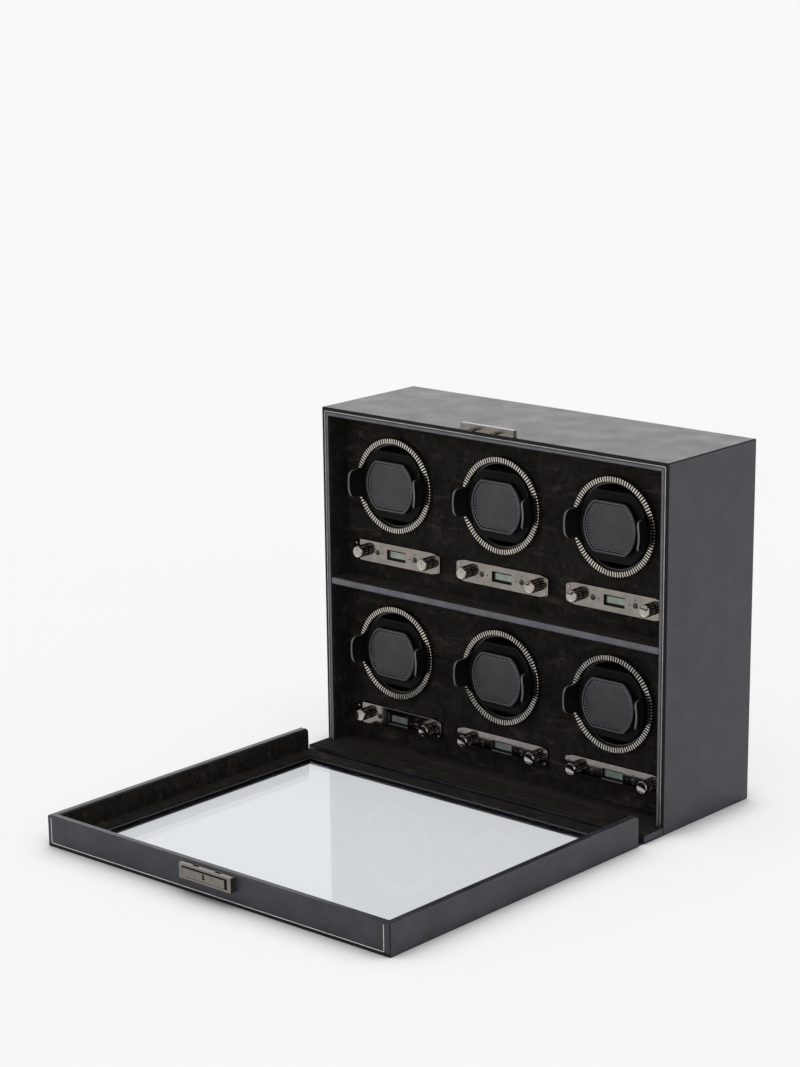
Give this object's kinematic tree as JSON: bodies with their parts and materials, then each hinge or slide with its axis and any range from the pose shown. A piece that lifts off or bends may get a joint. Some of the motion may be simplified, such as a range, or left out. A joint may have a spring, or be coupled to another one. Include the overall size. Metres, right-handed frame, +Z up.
{
  "type": "watch winder box",
  "caption": "Leather-covered cabinet with two rows of powered watch winding drums and a glazed drop-down lid.",
  "frame": {"origin": "centre of the cabinet's underside, on the table", "axes": "+X to the right seen from the front, +Y from the front to the back, +Z up"},
  "size_m": [0.43, 0.5353, 0.366],
  "materials": {
    "leather": "black fine-grained leather, semi-matt",
    "suede": "black-brown napped suede",
    "felt": "black felt",
    "nickel": "polished warm nickel",
    "display": "grey-green liquid crystal",
    "housing_plastic": "moulded black",
    "motor_casing": "moulded and pressed casing",
    "circuit_board": "solder mask",
    "screw_steel": "plated",
    "clear_glass": "clear float glass",
    "drum_plastic": "glossy black",
    "cuff_leather": "padded charcoal leather on a black moulded frame",
    "knob_metal": "turned, with a black ribbed grip",
    "button_plastic": "moulded black"
  },
  "bodies": {
    "cabinet": {"carcase": "leather", "base_board": "leather", "base_felt": "felt", "divider_shelf": "leather", "rear_cover": "leather", "bay_linings": "suede", "module_panels": "suede", "bezel_rings": "nickel", "control_plates": "nickel", "displays": "display", "module_housings": "housing_plastic", "gear_motors": "motor_casing", "control_boards": "circuit_board", "catch_bar": "nickel", "power_inlet": "housing_plastic", "plate_screws": "screw_steel"},
    "lid": {"lid_frame": "leather", "lid_glass": "clear_glass", "glass_bead": "leather", "lid_lining": "suede", "hinge_strip": "leather", "lock_case": "nickel"},
    "lock_slide": {"lock_slide": "nickel"},
    "key_cylinder": {"key_cylinder": "nickel"},
    "rotor_upper_left": {"rotor_upper_left": "drum_plastic"},
    "cuff_upper_left": {"cuff_upper_left": "cuff_leather"},
    "rotor_upper_middle": {"rotor_upper_middle": "drum_plastic"},
    "cuff_upper_middle": {"cuff_upper_middle": "cuff_leather"},
    "rotor_upper_right": {"rotor_upper_right": "drum_plastic"},
    "cuff_upper_right": {"cuff_upper_right": "cuff_leather"},
    "rotor_lower_left": {"rotor_lower_left": "drum_plastic"},
    "cuff_lower_left": {"cuff_lower_left": "cuff_leather"},
    "rotor_lower_middle": {"rotor_lower_middle": "drum_plastic"},
    "cuff_lower_middle": {"cuff_lower_middle": "cuff_leather"},
    "rotor_lower_right": {"rotor_lower_right": "drum_plastic"},
    "cuff_lower_right": {"cuff_lower_right": "cuff_leather"},
    "turns_knob_upper_left": {"turns_knob_upper_left": "knob_metal"},
    "direction_knob_upper_left": {"direction_knob_upper_left": "knob_metal"},
    "set_button_upper_left": {"set_button_upper_left": "button_plastic"},
    "mode_button_upper_left": {"mode_button_upper_left": "button_plastic"},
    "turns_knob_upper_middle": {"turns_knob_upper_middle": "knob_metal"},
    "direction_knob_upper_middle": {"direction_knob_upper_middle": "knob_metal"},
    "set_button_upper_middle": {"set_button_upper_middle": "button_plastic"},
    "mode_button_upper_middle": {"mode_button_upper_middle": "button_plastic"},
    "turns_knob_upper_right": {"turns_knob_upper_right": "knob_metal"},
    "direction_knob_upper_right": {"direction_knob_upper_right": "knob_metal"},
    "set_button_upper_right": {"set_button_upper_right": "button_plastic"},
    "mode_button_upper_right": {"mode_button_upper_right": "button_plastic"},
    "turns_knob_lower_left": {"turns_knob_lower_left": "knob_metal"},
    "direction_knob_lower_left": {"direction_knob_lower_left": "knob_metal"},
    "set_button_lower_left": {"set_button_lower_left": "button_plastic"},
    "mode_button_lower_left": {"mode_button_lower_left": "button_plastic"},
    "turns_knob_lower_middle": {"turns_knob_lower_middle": "knob_metal"},
    "direction_knob_lower_middle": {"direction_knob_lower_middle": "knob_metal"},
    "set_button_lower_middle": {"set_button_lower_middle": "button_plastic"},
    "mode_button_lower_middle": {"mode_button_lower_middle": "button_plastic"},
    "turns_knob_lower_right": {"turns_knob_lower_right": "knob_metal"},
    "direction_knob_lower_right": {"direction_knob_lower_right": "knob_metal"},
    "set_button_lower_right": {"set_button_lower_right": "button_plastic"},
    "mode_button_lower_right": {"mode_button_lower_right": "button_plastic"}
  },
  "joints": [
    {"name": "lid_hinge", "type": "hinge", "parent": "cabinet", "child": "lid", "pos_m": [0, -0.1, 0.0012], "axis": [-1, 0, 0], "range_deg": [0, 90]},
    {"name": "lock_slide_push", "type": "slide", "parent": "lid", "child": "lock_slide", "axis": [1, 0, 0], "range_m": [0, 0.003]},
    {"name": "key_turn", "type": "hinge", "parent": "lock_slide", "child": "key_cylinder", "pos_m": [-0.0018, -0.46, 0.02175], "axis": [0, 1, 0], "range_deg": [0, 90]},
    {"name": "rotor_spin_upper_left", "type": "hinge", "parent": "cabinet", "child": "rotor_upper_left", "pos_m": [-0.1375, -0.02, 0.2844], "axis": [0, 1, 0], "continuous": true},
    {"name": "cuff_pull_upper_left", "type": "slide", "parent": "rotor_upper_left", "child": "cuff_upper_left", "axis": [0, -1, 0], "range_m": [0, 0.026]},
    {"name": "rotor_spin_upper_middle", "type": "hinge", "parent": "cabinet", "child": "rotor_upper_middle", "pos_m": [0, -0.02, 0.2844], "axis": [0, 1, 0], "continuous": true},
    {"name": "cuff_pull_upper_middle", "type": "slide", "parent": "rotor_upper_middle", "child": "cuff_upper_middle", "axis": [0, -1, 0], "range_m": [0, 0.026]},
    {"name": "rotor_spin_upper_right", "type": "hinge", "parent": "cabinet", "child": "rotor_upper_right", "pos_m": [0.1375, -0.02, 0.2844], "axis": [0, 1, 0], "continuous": true},
    {"name": "cuff_pull_upper_right", "type": "slide", "parent": "rotor_upper_right", "child": "cuff_upper_right", "axis": [0, -1, 0], "range_m": [0, 0.026]},
    {"name": "rotor_spin_lower_left", "type": "hinge", "parent": "cabinet", "child": "rotor_lower_left", "pos_m": [-0.1375, -0.02, 0.1104], "axis": [0, 1, 0], "continuous": true},
    {"name": "cuff_pull_lower_left", "type": "slide", "parent": "rotor_lower_left", "child": "cuff_lower_left", "axis": [0, -1, 0], "range_m": [0, 0.026]},
    {"name": "rotor_spin_lower_middle", "type": "hinge", "parent": "cabinet", "child": "rotor_lower_middle", "pos_m": [0, -0.02, 0.1104], "axis": [0, 1, 0], "continuous": true},
    {"name": "cuff_pull_lower_middle", "type": "slide", "parent": "rotor_lower_middle", "child": "cuff_lower_middle", "axis": [0, -1, 0], "range_m": [0, 0.026]},
    {"name": "rotor_spin_lower_right", "type": "hinge", "parent": "cabinet", "child": "rotor_lower_right", "pos_m": [0.1375, -0.02, 0.1104], "axis": [0, 1, 0], "continuous": true},
    {"name": "cuff_pull_lower_right", "type": "slide", "parent": "rotor_lower_right", "child": "cuff_lower_right", "axis": [0, -1, 0], "range_m": [0, 0.026]},
    {"name": "turns_knob_turn_upper_left", "type": "hinge", "parent": "cabinet", "child": "turns_knob_upper_left", "pos_m": [-0.1805, -0.052, 0.2114], "axis": [0, 1, 0], "range_deg": [0, 270]},
    {"name": "direction_knob_turn_upper_left", "type": "hinge", "parent": "cabinet", "child": "direction_knob_upper_left", "pos_m": [-0.0945, -0.052, 0.2114], "axis": [0, 1, 0], "range_deg": [0, 180]},
    {"name": "set_button_press_upper_left", "type": "slide", "parent": "cabinet", "child": "set_button_upper_left", "axis": [0, 1, 0], "range_m": [0, 0.0008], "stiffness_N_per_m": 400},
    {"name": "mode_button_press_upper_left", "type": "slide", "parent": "cabinet", "child": "mode_button_upper_left", "axis": [0, 1, 0], "range_m": [0, 0.0008], "stiffness_N_per_m": 400},
    {"name": "turns_knob_turn_upper_middle", "type": "hinge", "parent": "cabinet", "child": "turns_knob_upper_middle", "pos_m": [-0.043, -0.052, 0.2114], "axis": [0, 1, 0], "range_deg": [0, 270]},
    {"name": "direction_knob_turn_upper_middle", "type": "hinge", "parent": "cabinet", "child": "direction_knob_upper_middle", "pos_m": [0.043, -0.052, 0.2114], "axis": [0, 1, 0], "range_deg": [0, 180]},
    {"name": "set_button_press_upper_middle", "type": "slide", "parent": "cabinet", "child": "set_button_upper_middle", "axis": [0, 1, 0], "range_m": [0, 0.0008], "stiffness_N_per_m": 400},
    {"name": "mode_button_press_upper_middle", "type": "slide", "parent": "cabinet", "child": "mode_button_upper_middle", "axis": [0, 1, 0], "range_m": [0, 0.0008], "stiffness_N_per_m": 400},
    {"name": "turns_knob_turn_upper_right", "type": "hinge", "parent": "cabinet", "child": "turns_knob_upper_right", "pos_m": [0.0945, -0.052, 0.2114], "axis": [0, 1, 0], "range_deg": [0, 270]},
    {"name": "direction_knob_turn_upper_right", "type": "hinge", "parent": "cabinet", "child": "direction_knob_upper_right", "pos_m": [0.1805, -0.052, 0.2114], "axis": [0, 1, 0], "range_deg": [0, 180]},
    {"name": "set_button_press_upper_right", "type": "slide", "parent": "cabinet", "child": "set_button_upper_right", "axis": [0, 1, 0], "range_m": [0, 0.0008], "stiffness_N_per_m": 400},
    {"name": "mode_button_press_upper_right", "type": "slide", "parent": "cabinet", "child": "mode_button_upper_right", "axis": [0, 1, 0], "range_m": [0, 0.0008], "stiffness_N_per_m": 400},
    {"name": "turns_knob_turn_lower_left", "type": "hinge", "parent": "cabinet", "child": "turns_knob_lower_left", "pos_m": [-0.1805, -0.052, 0.0374], "axis": [0, 1, 0], "range_deg": [0, 270]},
    {"name": "direction_knob_turn_lower_left", "type": "hinge", "parent": "cabinet", "child": "direction_knob_lower_left", "pos_m": [-0.0945, -0.052, 0.0374], "axis": [0, 1, 0], "range_deg": [0, 180]},
    {"name": "set_button_press_lower_left", "type": "slide", "parent": "cabinet", "child": "set_button_lower_left", "axis": [0, 1, 0], "range_m": [0, 0.0008], "stiffness_N_per_m": 400},
    {"name": "mode_button_press_lower_left", "type": "slide", "parent": "cabinet", "child": "mode_button_lower_left", "axis": [0, 1, 0], "range_m": [0, 0.0008], "stiffness_N_per_m": 400},
    {"name": "turns_knob_turn_lower_middle", "type": "hinge", "parent": "cabinet", "child": "turns_knob_lower_middle", "pos_m": [-0.043, -0.052, 0.0374], "axis": [0, 1, 0], "range_deg": [0, 270]},
    {"name": "direction_knob_turn_lower_middle", "type": "hinge", "parent": "cabinet", "child": "direction_knob_lower_middle", "pos_m": [0.043, -0.052, 0.0374], "axis": [0, 1, 0], "range_deg": [0, 180]},
    {"name": "set_button_press_lower_middle", "type": "slide", "parent": "cabinet", "child": "set_button_lower_middle", "axis": [0, 1, 0], "range_m": [0, 0.0008], "stiffness_N_per_m": 400},
    {"name": "mode_button_press_lower_middle", "type": "slide", "parent": "cabinet", "child": "mode_button_lower_middle", "axis": [0, 1, 0], "range_m": [0, 0.0008], "stiffness_N_per_m": 400},
    {"name": "turns_knob_turn_lower_right", "type": "hinge", "parent": "cabinet", "child": "turns_knob_lower_right", "pos_m": [0.0945, -0.052, 0.0374], "axis": [0, 1, 0], "range_deg": [0, 270]},
    {"name": "direction_knob_turn_lower_right", "type": "hinge", "parent": "cabinet", "child": "direction_knob_lower_right", "pos_m": [0.1805, -0.052, 0.0374], "axis": [0, 1, 0], "range_deg": [0, 180]},
    {"name": "set_button_press_lower_right", "type": "slide", "parent": "cabinet", "child": "set_button_lower_right", "axis": [0, 1, 0], "range_m": [0, 0.0008], "stiffness_N_per_m": 400},
    {"name": "mode_button_press_lower_right", "type": "slide", "parent": "cabinet", "child": "mode_button_lower_right", "axis": [0, 1, 0], "range_m": [0, 0.0008], "stiffness_N_per_m": 400}
  ]
}
